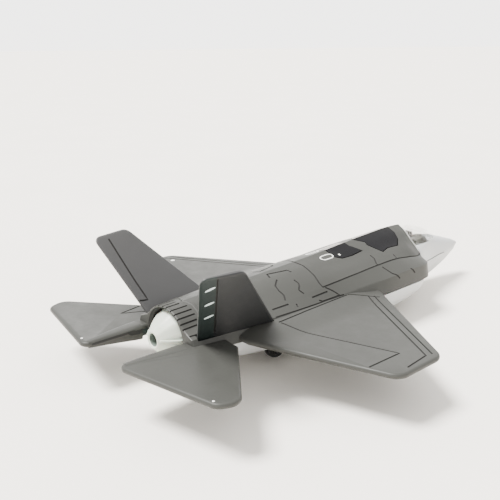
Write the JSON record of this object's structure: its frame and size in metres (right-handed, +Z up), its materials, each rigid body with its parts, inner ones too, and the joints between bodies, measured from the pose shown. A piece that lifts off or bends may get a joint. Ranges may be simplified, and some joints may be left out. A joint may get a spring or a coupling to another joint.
{
  "type": "toy jet aircraft",
  "caption": "Pocket die-cast toy jet: metal upper body with wings, plastic belly, canted twin fins, clear windscreen, exhaust cone and free-rolling wheels.",
  "frame": {"origin": "on the ground under the wheels, below the middle of the model's length and width", "axes": "+Y towards the tail along the model's length, -Y towards the nose, +X towards the aircraft's port side, +Z up"},
  "size_m": [0.0668, 0.0914, 0.0215],
  "materials": {
    "grey_paint": "satin mid-grey enamel on die-cast zinc",
    "light_plastic": "satin light grey moulded plastic",
    "cream_plastic": "satin off-white moulded plastic",
    "smoke_clear": "clear moulded polystyrene, faint warm smoke tint",
    "gloss_black": "gloss black",
    "dark_plastic": "matt dark brown-grey plastic",
    "black_plastic": "matt black plastic",
    "wheel_plastic": "matt black wheel with a ribbed tread",
    "steel": "zinc-plated steel"
  },
  "bodies": {
    "airframe": {"upper_body": "grey_paint", "lower_body": "light_plastic", "port_fin": "grey_paint", "starboard_fin": "grey_paint", "windscreen": "smoke_clear", "rear_window": "gloss_black", "dorsal_panel": "gloss_black", "cockpit_tub": "dark_plastic", "ejection_seat": "dark_plastic", "exhaust_nozzle": "cream_plastic", "nose_gear_fork": "black_plastic", "port_gear_fork": "black_plastic", "starboard_gear_fork": "black_plastic", "nose_axle": "steel", "port_axle": "steel", "starboard_axle": "steel", "front_screw": "steel", "rear_screw": "steel"},
    "nose_roller": {"nose_wheel": "wheel_plastic"},
    "port_roller": {"port_wheel": "wheel_plastic"},
    "starboard_roller": {"starboard_wheel": "wheel_plastic"}
  },
  "joints": [
    {"name": "nose_wheel_spin", "type": "hinge", "parent": "airframe", "child": "nose_roller", "pos_m": [0, -0.02115, 0.0021], "axis": [1, 0, 0], "continuous": true},
    {"name": "port_wheel_spin", "type": "hinge", "parent": "airframe", "child": "port_roller", "pos_m": [0.005, 0.01575, 0.0021], "axis": [1, 0, 0], "continuous": true},
    {"name": "starboard_wheel_spin", "type": "hinge", "parent": "airframe", "child": "starboard_roller", "pos_m": [-0.005, 0.01575, 0.0021], "axis": [1, 0, 0], "continuous": true}
  ]
}
